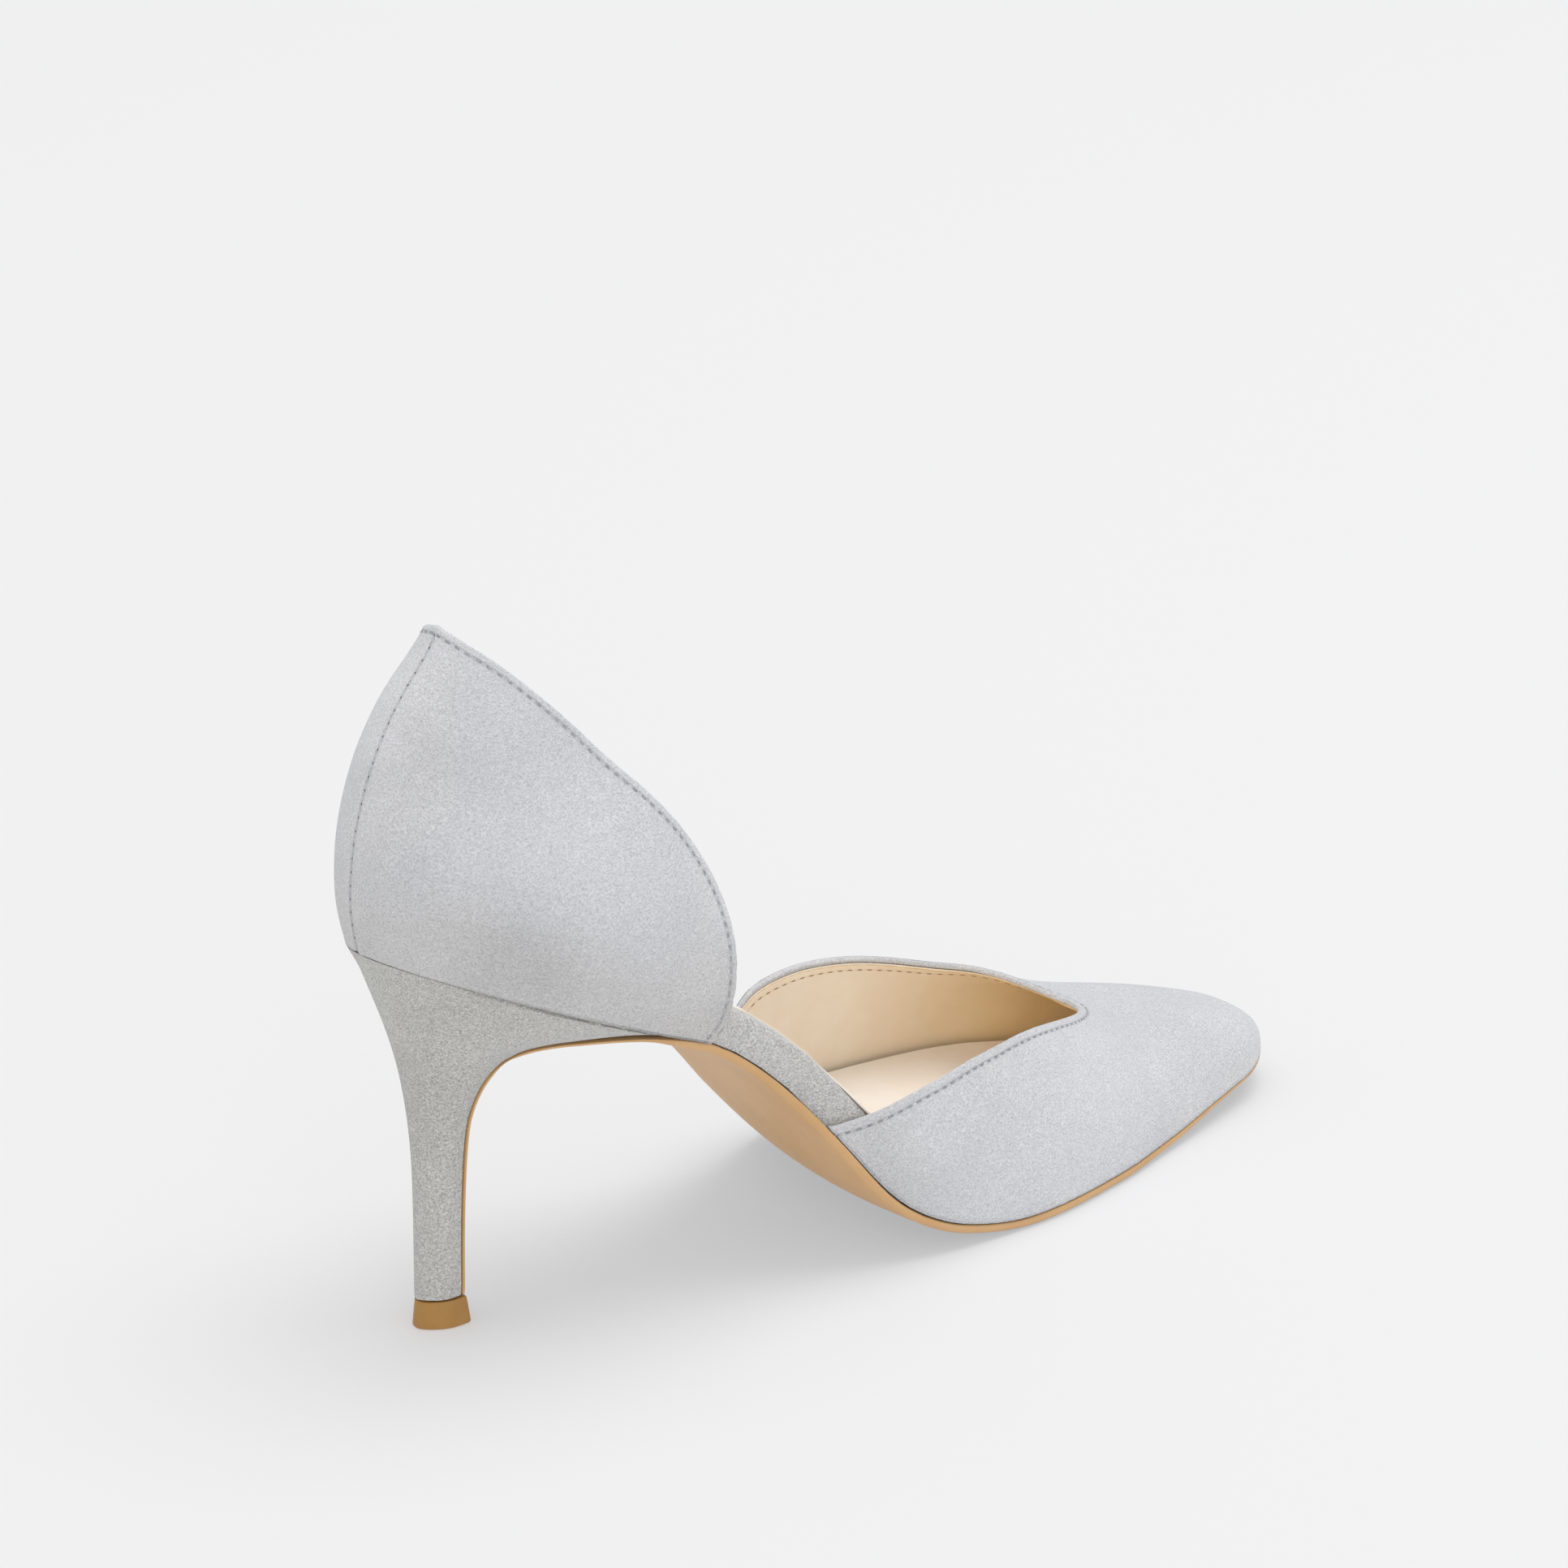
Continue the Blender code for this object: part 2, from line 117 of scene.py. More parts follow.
def rimLines(piece):
    # the skin's open edge, walked round and parted at its two sharpest corners: topline, lower line.
    # each is its points and the way from there into the skin
    shape = bmesh.new()
    shape.from_mesh(piece.data)
    links, into = {}, {}
    for edge in shape.edges:
        if edge.is_boundary:
            a, b = edge.verts
            line = (b.co - a.co).normalized()
            way = edge.link_faces[0].calc_center_median() - (a.co + b.co) / 2
            way = (way - line * way.dot(line)).normalized()
            for one, other in ((a, b), (b, a)):
                links.setdefault(one.index, []).append(other.index)
                into[one.index] = into.get(one.index, Vector()) + way
    place = {v.index: np.array(v.co) for v in shape.verts}
    shape.free()
    loop = [min(links)]
    before = None
    while True:
        onward = [n for n in links[loop[-1]] if n != before]
        before = loop[-1]
        if onward[0] == loop[0]:
            break
        loop.append(onward[0])
    points = np.array([place[k] for k in loop])
    ways = np.array([into[k] for k in loop])
    over = 4  # points over which a turn is read
    ahead = np.roll(points, -over, 0) - points
    behind = points - np.roll(points, over, 0)
    turn = np.einsum("ij,ij->i", ahead, behind) / (
        np.linalg.norm(ahead, axis=1) * np.linalg.norm(behind, axis=1))
    first = int(np.argmin(turn))
    apart = np.abs((np.arange(len(loop)) - first + len(loop) // 2) % len(loop) - len(loop) // 2)
    second = int(np.argmin(np.where(apart > len(loop) // 8, turn, 2)))
    low, high = sorted((first, second))
    chains = [list(range(low, high + 1)), list(range(high, len(loop))) + list(range(0, low + 1))]
    chains.sort(key=lambda c: -points[c][:, 2].mean())
    return [(points[c], ways[c] / np.linalg.norm(ways[c], axis=1, keepdims=True)) for c in chains]


def pinCorners(piece, middle, peak):
    # keeps the two pointed ends of a skin sharp when it is made finer, and its top as far as peak says
    shape = bmesh.new()
    shape.from_mesh(piece.data)
    pin = shape.verts.layers.float.new("crease_vert")
    aside = 15 * mm  # a pointed end is at least this far from the middle
    for way in (-1, 1):
        turns = []
        for vertex in shape.verts:
            ways = [e.other_vert(vertex).co - vertex.co for e in vertex.link_edges if e.is_boundary]
            if len(ways) == 2 and way * (vertex.co.y - middle * mm) > aside:
                turns.append((ways[0].angle(ways[1]), vertex.index, vertex))
        min(turns)[2][pin] = 1.0
    max((v for v in shape.verts if v.is_boundary), key=lambda v: v.co.z)[pin] = peak
    shape.to_mesh(piece.data)
    shape.free()


def spaced(line, pitch, *more):
    # points at an even pitch along a line, the direction there, and any other vectors of the line
    run = np.concatenate([[0], np.cumsum(np.linalg.norm(np.diff(line, axis=0), axis=1))])
    count = max(2, int(run[-1] / pitch) + 1)
    at = np.linspace(0, run[-1], count)
    rows = [np.stack([np.interp(at, run, each[:, k]) for k in range(3)], -1) for each in (line, *more)]
    tangent = np.gradient(rows[0], axis=0)
    return [rows[0], tangent / np.linalg.norm(tangent, axis=1, keepdims=True)] + rows[1:]


def ease(share):
    share = np.clip(share, 0, 1)
    return share * share * (3 - 2 * share)


def treeOf(points):
    tree = KDTree(len(points))
    for k, point in enumerate(points):
        tree.insert(point, k)
    tree.balance()
    return tree


def keepGap(piece, name, line):
    # how far each vertex is from a line, kept as an attribute for the finish
    tree = treeOf(spaced(line, lineStep)[0])
    gap = [tree.find(v.co)[2] for v in piece.data.vertices]
    keepValue(piece, name, gap)
    return np.array(gap)


def keepValue(piece, name, values):
    layer = piece.data.attributes.get(name) or piece.data.attributes.new(name, "FLOAT", "POINT")
    layer.data.foreach_set("value", np.asarray(values, np.float32))


def inset(skin, rim, gap, pitch):
    # places on a skin at a fixed gap from its edge and an even pitch: points, along, outward
    surface = BVHTree.FromObject(skin, bpy.context.evaluated_depsgraph_get())
    points, _, into = spaced(rim[0], lineStep, rim[1])
    edge = treeOf(points)
    line = []
    for point, way in zip(points, into):
        spot = surface.find_nearest(Vector(point + way * gap))[0]
        if edge.find(spot)[2] > 0.97 * gap:
            line.append(np.array(spot))
    spots, along = spaced(np.array(line), pitch)
    return [(s, a, np.array(surface.find_nearest(Vector(s))[1])) for s, a in zip(spots, along)]


def pullEdge(skin, rim, far, reach):
    # draws a skin in from its edge, or out for a distance below 0, less and less over a reach
    points, _, into = spaced(rim[0], lineStep, rim[1])
    edge = treeOf(points)
    for vertex in skin.data.vertices:
        _, k, away = edge.find(vertex.co)
        if away < reach * mm:
            vertex.co += Vector(into[k]) * far * mm * (1 - away / (reach * mm))
    skin.data.update()


def weighRim(piece, rim, lower, reach):
    # marks the corners of a rim for rounding, less towards the ends where the part runs out
    edge, foot = (treeOf(spaced(line[0], lineStep)[0]) for line in (rim, lower))
    shape = bmesh.new()
    shape.from_mesh(piece.data)
    weight = shape.edges.layers.float.new("bevel_weight_edge")
    corner, fade, start = math.radians(50), 4 * mm, 0.3  # least angle, length of the fade, share with none
    for line in shape.edges:
        middle = (line.verts[0].co + line.verts[1].co) / 2
        if line.is_manifold and line.calc_face_angle() > corner and edge.find(middle)[2] < reach * mm:
            line[weight] = max(0.0, min(1.0, foot.find(middle)[2] / fade - start))
    shape.to_mesh(piece.data)
    shape.free()


def pushOut(piece, push):
    points = np.array([v.co for v in piece.data.vertices])
    normals = np.array([v.normal for v in piece.data.vertices])
    points += normals * np.asarray(push)[:, None]
    piece.data.vertices.foreach_set("co", points.astype(np.float32).ravel())
    piece.data.update()


def soften(piece, dents):
    # soft troughs (a depth above 0) and ridges (below 0) along short lines, shallower at their ends
    points = np.array([v.co for v in piece.data.vertices])
    push = np.zeros(len(points))
    for start, end, width, depth in dents:
        a, b = np.array(start) * mm, np.array(end) * mm
        t = np.clip((points - a) @ (b - a) / ((b - a) @ (b - a)), 0, 1)
        away = np.linalg.norm(points - a - t[:, None] * (b - a), axis=1)
        push -= depth * mm * np.exp(-(away / (width * mm)) ** 2) * np.sin(math.pi * (0.15 + 0.7 * t))
    pushOut(piece, push)


def smoothShade(piece, angle):
    pick(piece)
    bpy.ops.object.shade_smooth_by_angle(angle=math.radians(angle))


def seat(piece, slotName, *materials):
    piece.data.materials.clear()
    for material in materials:
        piece.data.materials.append(material)
    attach(piece, "root")
    return piece


# shader tools

def addNode(tree, kind, place, links=None, inputs=None, **values):
    node = tree.nodes.new(kind)
    node.location = place
    for name, value in values.items():
        setattr(node, name, value)
    for name, value in (inputs or {}).items():
        node.inputs[name].default_value = value
    for name, socket in (links or {}).items():
        tree.links.new(socket, node.inputs[name])
    return node


def newGroup(name, inputs, outputs):
    group = bpy.data.node_groups.new(name, "ShaderNodeTree")
    for label, kind, value in inputs:
        group.interface.new_socket(name=label, in_out="INPUT", socket_type=kind).default_value = value
    for label, kind in outputs:
        group.interface.new_socket(name=label, in_out="OUTPUT", socket_type=kind)
    return group, group.nodes.new("NodeGroupInput"), group.nodes.new("NodeGroupOutput")


def mathNode(tree, operation, first, second, place=(0, 0)):
    node = tree.nodes.new("ShaderNodeMath")
    node.operation = operation
    node.location = place
    for k, value in enumerate((first, second)):
        if value is None:
            continue
        if isinstance(value, (int, float)):
            node.inputs[k].default_value = value
        else:
            tree.links.new(value, node.inputs[k])
    return node.outputs[0]


def sumNode(tree, first, second, place=(0, 0)):
    # two values, each times its share
    scaled = [mathNode(tree, "MULTIPLY", value, share) for value, share in (first, second)]
    return mathNode(tree, "ADD", *scaled, place)


def rampNode(tree, value, low, high, start, end, place=(0, 0)):
    node = addNode(tree, "ShaderNodeMapRange", place, interpolation_type="SMOOTHSTEP",
                   inputs={"From Min": low, "From Max": high, "To Min": start, "To Max": end})
    tree.links.new(value, node.inputs["Value"])
    return node.outputs["Result"]


def mixColour(tree, blend, factor, first, second, place=(0, 0)):
    node = tree.nodes.new("ShaderNodeMix")
    node.data_type = "RGBA"
    node.blend_type = blend
    node.location = place
    for k, value in ((0, factor), (6, first), (7, second)):
        if isinstance(value, (int, float, tuple)):
            node.inputs[k].default_value = value
        else:
            tree.links.new(value, node.inputs[k])
    return node.outputs[2]


def noiseNode(tree, vector, scale, detail, roughness, place=(0, 0)):
    node = addNode(tree, "ShaderNodeTexNoise", place, links={"Vector": vector},
                   inputs={"Scale": scale, "Detail": detail, "Roughness": roughness})
    return node.outputs["Fac"]


def linear(red, green, blue):
    # a colour as a picture shows it, 0 to 255, made linear
    tones = [c / 255 for c in (red, green, blue)]
    return tuple(c / 12.92 if c < 0.04045 else ((c + 0.055) / 1.055) ** 2.4 for c in tones) + (1.0,)


def attributeNode(tree, name, place):
    return addNode(tree, "ShaderNodeAttribute", place, attribute_name=name).outputs["Fac"]


# suede: long soft brush marks, clumps of nap and single fibres

napScale = {"swirl": 55.0, "fibre": 2800.0, "clump": 1150.0, "brush": 95.0, "patch": 30.0, "tint": 24.0}
napSwirl = 6.0  # how far the strokes wander, mm


def makeNap():
    group, start, end = newGroup("suedeNap", [
        ("Light", "NodeSocketColor", (1, 1, 1, 1)),
        ("Shade", "NodeSocketColor", (0.8, 0.8, 0.8, 1)),
        ("Cool", "NodeSocketColor", (0.8, 0.8, 1, 1)),
        ("Fibre Contrast", "NodeSocketFloat", 0.2),
        ("Fibre Size", "NodeSocketFloat", 1.0),
    ], [("Color", "NodeSocketColor"), ("Roughness", "NodeSocketFloat"), ("Height", "NodeSocketFloat")])
    place = addNode(group, "ShaderNodeTexCoord", (-1600, 0)).outputs["Object"]
    swirl = addNode(group, "ShaderNodeTexNoise", (-1400, -200), links={"Vector": place},
                    inputs={"Scale": napScale["swirl"], "Detail": 2.0}).outputs["Color"]
    swirl = addNode(group, "ShaderNodeVectorMath", (-1200, -200), operation="SCALE",
                    links={0: swirl}, inputs={"Scale": napSwirl * mm}).outputs[0]
    swirled = addNode(group, "ShaderNodeVectorMath", (-1000, -100), operation="ADD",
                      links={0: place, 1: swirl}).outputs[0]
    combed = addNode(group, "ShaderNodeMapping", (-800, -100), links={"Vector": swirled},
                     inputs={"Rotation": (0.5, -0.6, 0.3), "Scale": (0.8, 1.0, 1.0)}).outputs[0]
    size = start.outputs["Fibre Size"]

    fibre = addNode(group, "ShaderNodeTexNoise", (-500, 200), links={"Vector": combed},
                    inputs={"Detail": 1.0, "Roughness": 0.5})
    group.links.new(mathNode(group, "DIVIDE", napScale["fibre"], size, (-700, 250)), fibre.inputs["Scale"])
    clump = addNode(group, "ShaderNodeTexNoise", (-500, 0), links={"Vector": combed},
                    inputs={"Detail": 1.0, "Roughness": 0.5})
    group.links.new(mathNode(group, "DIVIDE", napScale["clump"], size, (-700, 50)), clump.inputs["Scale"])
    brush = noiseNode(group, combed, napScale["brush"], 3.0, 0.5, (-500, -200))
    patch = noiseNode(group, swirled, napScale["patch"], 2.0, 0.5, (-500, -400))
    tint = noiseNode(group, place, napScale["tint"], 1.0, 0.5, (-500, -600))

    strokes = sumNode(group, (brush, 0.2), (patch, 0.8))
    brushed = rampNode(group, strokes, 0.36, 0.64, 0.0, 1.0, (-200, -300))
    colour = mixColour(group, "MIX", brushed, start.outputs["Shade"], start.outputs["Light"], (0, -200))
    colour = mixColour(group, "MIX", rampNode(group, tint, 0.38, 0.66, 0.0, 0.8, (-200, -600)),
                       colour, start.outputs["Cool"], (200, -250))
    pile = sumNode(group, (fibre.outputs["Fac"], 0.82), (clump.outputs["Fac"], 0.18), (-200, 100))
    speck = mathNode(group, "SUBTRACT", pile, 0.5)
    speck = mathNode(group, "MULTIPLY", speck, start.outputs["Fibre Contrast"])
    gain = mathNode(group, "ADD", mathNode(group, "MULTIPLY", speck, 4.0), 1.0, (200, 100))
    grey = addNode(group, "ShaderNodeCombineColor", (350, 100), links={0: gain, 1: gain, 2: gain}).outputs[0]
    group.links.new(mixColour(group, "MULTIPLY", 1.0, colour, grey, (500, -100)), end.inputs["Color"])
    group.links.new(rampNode(group, pile, 0.3, 0.7, 0.98, 0.82, (500, 100)), end.inputs["Roughness"])
    group.links.new(mathNode(group, "ADD", pile, mathNode(group, "MULTIPLY", brush, 0.15), (500, 300)),
                    end.inputs["Height"])
    return group


# leather: fine pores and creases, with a slow drift of tone

grainScale = {"drift": 36.0, "cloud": 240.0, "pore": 1500.0}


def makeGrain():
    group, start, end = newGroup("leatherGrain", [
        ("Light", "NodeSocketColor", (1, 1, 1, 1)),
        ("Shade", "NodeSocketColor", (0.8, 0.7, 0.6, 1)),
        ("Pore Size", "NodeSocketFloat", 1.0),
        ("Polish", "NodeSocketFloat", 0.5),
    ], [("Color", "NodeSocketColor"), ("Roughness", "NodeSocketFloat"), ("Height", "NodeSocketFloat")])
    place = addNode(group, "ShaderNodeTexCoord", (-1200, 0)).outputs["Object"]
    drift = noiseNode(group, place, grainScale["drift"], 3.0, 0.5, (-800, 0))
    cloud = noiseNode(group, place, grainScale["cloud"], 2.0, 0.5, (-800, -200))
    scale = mathNode(group, "DIVIDE", grainScale["pore"], start.outputs["Pore Size"], (-1000, -400))
    pores = addNode(group, "ShaderNodeTexVoronoi", (-800, -400), links={"Vector": place, "Scale": scale})
    tone = rampNode(group, sumNode(group, (drift, 0.7), (cloud, 0.3)), 0.35, 0.65, 0.0, 1.0, (-500, 0))
    group.links.new(mixColour(group, "MIX", tone, start.outputs["Shade"], start.outputs["Light"], (-200, 0)),
                    end.inputs["Color"])
    dull = mathNode(group, "SUBTRACT", 1.0, start.outputs["Polish"], (-500, -200))
    group.links.new(mathNode(group, "ADD", dull, mathNode(group, "MULTIPLY", cloud, 0.15), (-200, -200)),
                    end.inputs["Roughness"])
    height = sumNode(group, (pores.outputs["Distance"], 0.7), (cloud, 0.6), (-200, -400))
    group.links.new(height, end.inputs["Height"])
    return group


napGroup = makeNap()
grainGroup = makeGrain()


def newMaterial(name):
    material = bpy.data.materials.new(name)
    material.use_nodes = True
    tree = material.node_tree
    return material, tree, tree.nodes["Principled BSDF"]


def useGroup(tree, group, place, values):
    node = addNode(tree, "ShaderNodeGroup", place, node_tree=group)
    for name, value in values.items():
        node.inputs[name].default_value = value
    return node


def addMarks(tree, colour, height, marks):
    # seams and edges, each drawn from its own attribute
    for k, mark in enumerate(marks):
        low = -300 - 250 * k
        gap = attributeNode(tree, mark["from"], (-1000, low))
        away = mathNode(tree, "ABSOLUTE", mathNode(tree, "SUBTRACT", gap, mark["at"] * mm), None)
        line = rampNode(tree, away, 0.0, mark["width"] * mm, 1.0, 0.0, (-700, low))
        height = mathNode(tree, "ADD", height, mathNode(tree, "MULTIPLY", line, mark["lift"]))
        # the tone is laid on by the mark's share; some marks are real colour, others painted shade
        toneShare = mathNode(tree, "MULTIPLY", line, mark["toneShare"])
        blend = mark.get("blend", "MULTIPLY")
        colour = mixColour(tree, blend, toneShare, colour, linear(*mark["tone"]), (-300, low))
    return colour, height


def suedeFinish(name, settings, marks):
    material, tree, shader = newMaterial(name)
    nap = useGroup(tree, napGroup, (-600, 200), {
        "Light": linear(*settings["light"]), "Shade": linear(*settings["shade"]),
        "Cool": linear(*settings["cool"]), "Fibre Contrast": settings["contrast"],
        "Fibre Size": settings["fibreSize"]})
    colour, height = addMarks(tree, nap.outputs["Color"], nap.outputs["Height"], marks)
    # the brushed attribute makes the colour lighter or darker: patches of nap, and painted shade and painted
    # highlight
    gain = mathNode(tree, "ADD", attributeNode(tree, "brushed", (-1000, 500)), 1.0, (-800, 500))
    grey = addNode(tree, "ShaderNodeCombineColor", (-600, 500), links={0: gain, 1: gain, 2: gain}).outputs[0]
    colour = mixColour(tree, "MULTIPLY", 1.0, colour, grey, (-200, 300))
    tree.links.new(colour, shader.inputs["Base Color"])
    tree.links.new(nap.outputs["Roughness"], shader.inputs["Roughness"])
    bump = addNode(tree, "ShaderNodeBump", (-200, -100), links={"Height": height},
                   inputs={"Strength": settings["bump"], "Distance": 0.35 * mm})
    tree.links.new(bump.outputs[0], shader.inputs["Normal"])
    shader.inputs["Specular IOR Level"].default_value = 0.12
    shader.inputs["Sheen Weight"].default_value = settings["sheen"]
    shader.inputs["Sheen Roughness"].default_value = 0.4
    shader.inputs["Sheen Tint"].default_value = linear(245, 247, 250)
    return material


def leatherFinish(name, settings, marks=()):
    material, tree, shader = newMaterial(name)
    grain = useGroup(tree, grainGroup, (-600, 200), {
        "Light": linear(*settings["light"]), "Shade": linear(*settings["shade"]),
        "Pore Size": settings["poreSize"], "Polish": settings["polish"]})
    colour, height = addMarks(tree, grain.outputs["Color"], grain.outputs["Height"], marks)
    if "bounce" in settings:  # the light that it throws on the floor is a plain grey
        ray = addNode(tree, "ShaderNodeLightPath", (-300, 600)).outputs["Is Diffuse Ray"]
        colour = mixColour(tree, "MIX", ray, colour, linear(*settings["bounce"]), (0, 400))
    tree.links.new(colour, shader.inputs["Base Color"])
    tree.links.new(grain.outputs["Roughness"], shader.inputs["Roughness"])
    bump = addNode(tree, "ShaderNodeBump", (-200, -100), links={"Height": height},
                   inputs={"Strength": settings["bump"], "Distance": 0.2 * mm})
    tree.links.new(bump.outputs[0], shader.inputs["Normal"])
    shader.inputs["Specular IOR Level"].default_value = settings["gloss"]
    shader.inputs["Coat Weight"].default_value = settings["coat"]
    shader.inputs["Coat Roughness"].default_value = 0.35
    return material


print("finishes ready")


# stitches: a short fat thread, sunk into the surface, one for each place

def sewStitches(pieceName, places, settings):
    bpy.ops.object.select_all(action="DESELECT")
    bpy.ops.mesh.primitive_uv_sphere_add(segments=8, ring_count=6, radius=0.5)
    pattern = bpy.context.active_object
    pattern.scale = (settings["length"] * mm, settings["width"] * mm, settings["width"] * mm)
    bpy.ops.object.transform_apply(location=False, rotation=False, scale=True)
    bpy.ops.object.shade_smooth()
    made = []
    for spot, along, outward in places:
        side = np.cross(outward, along)
        side /= np.linalg.norm(side)
        up = np.cross(along, side)
        spot = spot + up * settings["stand"] * mm
        turned = Matrix([(along[k], side[k], up[k], spot[k]) for k in range(3)] + [(0, 0, 0, 1)])
        thread = bpy.data.objects.new(pieceName, pattern.data.copy())
        thread.data.transform(turned)
        bpy.context.scene.collection.objects.link(thread)
        made.append(thread)
    bpy.data.objects.remove(pattern)
    bpy.ops.object.select_all(action="DESELECT")
    for thread in made:
        thread.select_set(True)
    bpy.context.view_layer.objects.active = made[0]
    bpy.ops.object.join()
    print(pieceName, len(made), "stitches")
    return bpy.context.active_object


def threadFinish(name, tone):
    material, tree, shader = newMaterial(name)
    place = addNode(tree, "ShaderNodeTexCoord", (-900, 0)).outputs["Object"]
    twist = noiseNode(tree, place, 2600.0, 2.0, 0.5, (-700, 0))
    dark = tuple(c * 0.6 for c in linear(*tone)[:3]) + (1.0,)
    tree.links.new(mixColour(tree, "MIX", rampNode(tree, twist, 0.35, 0.65, 0.0, 1.0), dark, linear(*tone)),
                   shader.inputs["Base Color"])
    bump = addNode(tree, "ShaderNodeBump", (-200, -100), links={"Height": twist},
                   inputs={"Strength": 0.4, "Distance": 0.1 * mm})
    tree.links.new(bump.outputs[0], shader.inputs["Normal"])
    shader.inputs["Roughness"].default_value = 0.75
    shader.inputs["Specular IOR Level"].default_value = 0.25
    return material


# upper: each part is a suede skin with a rolled edge and a lining skin a little lower

upper = {
    "middle": -2.38,          # the heel's middle plane, mm
    "sharp": 32.0,            # degrees, where the wall's skins part from its rims
    "suedeThick": 1.25, "liningThick": 0.5,
    "edgeRound": 0.5, "liningRound": 0.14,
    "liningDrop": 0.55, "dropFade": 2.2,               # the lining's edge under the suede's, mm
    "lowerReach": 0.22, "lowerFade": 2.0,              # how far the suede goes down to the piece under it, mm
    "roll": 0.16, "rollAt": 0.9, "rollWidth": 0.7,     # the turned edge: height, place and width, mm
    "stitchPitch": 2.45, "liningStitchGap": 1.9,
    "fuzz": 0.05, "fuzzReach": 1.2, "fuzzSize": 0.9,   # raggedness of the cut suede, mm
    "rimSlack": 0.25,         # how far past the wall's thickness an edge still belongs to the rim, mm
    "stray": 0.4,             # share of a rounding by which it may leave the shape that it rounds
    "suedeLevels": 3, "liningLevels": 2,
}
suedeTone = {"light": (225, 225, 227), "shade": (211, 211, 213), "cool": (217, 219, 224),
             "contrast": 0.22, "fibreSize": 1.0, "bump": 0.9, "sheen": 0.45}
liningTone = {"light": (251, 239, 219), "shade": (247, 231, 208), "poreSize": 1.0, "polish": 0.45,
              "bump": 0.12, "gloss": 0.35, "coat": 0.05}
# lining: a pale turned edge, a brown line at its very edge, painted shade in its stitch groove, and painted
# shade near its foot where it meets the sock
liningMarks = [
    {"from": "toplineGap", "at": 0.5, "width": 0.7, "lift": 0.3, "toneShare": 0.8, "tone": (255, 238, 206),
     "blend": "MIX"},
    {"from": "toplineGap", "at": 0.0, "width": 0.25, "lift": 0.0, "toneShare": 0.7, "tone": (178, 122, 88)},
    {"from": "toplineGap", "at": 1.9, "width": 0.5, "lift": -0.8, "toneShare": 0.2, "tone": (205, 175, 135)},
    {"from": "lowerGap", "at": 0.0, "width": 3.5, "lift": 0.0, "toneShare": 0.25, "tone": (200, 160, 120)},
]
# deep in the toe the lining is lit by its own warm colour
deepMark = {"from": "deepGap", "at": 0.0, "width": 52.0, "lift": 0.0, "toneShare": 1.0, "tone": (252, 232, 192)}
toeFrom = 80.0  # from this place along the shoe to the toe the warm colour is full, mm


def edgeMarks(stitch):
    # the row of stitches lies in a groove with a little painted shade in it, and painted shadow darkens the
    # suede where it goes under the piece below
    return [
        {"from": "toplineGap", "at": stitch["gap"], "width": 0.5, "lift": -0.9,
         "toneShare": 0.12, "tone": (196, 198, 203)},
        {"from": "lowerGap", "at": 0.0, "width": 0.5, "lift": -0.5,
         "toneShare": stitch["lowShade"], "tone": (140, 138, 136)},
    ]


# painted shade makes the quarter a little darker low down, and painted shade darkens the valley of its back
# seam
quarterMarks = [
    {"from": "lowerGap", "at": 0.0, "width": 30.0, "lift": 0.0, "toneShare": 1.0, "tone": (236, 234, 231)},
    {"from": "seamGap", "at": 0.0, "width": 0.6, "lift": -1.0, "toneShare": 0.35, "tone": (186, 188, 194)},
]
# the last value is how strongly painted shadow darkens the suede where it goes under the sole or the heel
vampStitch = {"gap": 2.1, "length": 1.6, "width": 0.38, "stand": -0.06, "lowShade": 0.25}
quarterStitch = dict(vampStitch, gap=1.7, length=1.5, lowShade=0.7)
liningStitch = {"length": 1.5, "width": 0.32, "stand": -0.04}
vampSuede = suedeFinish("vampSuede", suedeTone, edgeMarks(vampStitch))
quarterSuede = suedeFinish("quarterSuede", suedeTone, edgeMarks(quarterStitch) + quarterMarks)
liningLeather = leatherFinish("liningLeather", liningTone, liningMarks)
toeLining = leatherFinish("toeLining", liningTone, liningMarks + [deepMark])
greyThread = threadFinish("greyThread", (170, 172, 177))
paleThread = threadFinish("paleThread", (184, 185, 190))
tanThread = threadFinish("tanThread", (164, 126, 84))
seamThread = threadFinish("seamThread", (132, 132, 140))


def fuzzEdge(piece, gap):
    # the cut edge of suede is never quite straight
    for vertex, away in zip(piece.data.vertices, gap):
        if away < upper["fuzzReach"] * mm:
            spot = vertex.co / (upper["fuzzSize"] * mm)
            vertex.co += vertex.normal * noise.noise(spot) * upper["fuzz"] * mm
    piece.data.update()


def brushSuedeLightAndShade(piece, patches):
    # places where the nap is stroked the other way and looks lighter or darker, and places of painted shade
    # and painted highlight
    points = np.array([v.co for v in piece.data.vertices])
    tone = np.zeros(len(points))
    for middle, reach, gain in patches:
        away = np.linalg.norm(points - np.array(middle) * mm, axis=1)
        tone += gain * np.exp(-(away / (reach * mm)) ** 2)
    keepValue(piece, "brushed", tone)


def makeFiner(skin, levels):
    applyModifier(skin, "SUBSURF", levels=levels, render_levels=levels, boundary_smooth="PRESERVE_CORNERS")


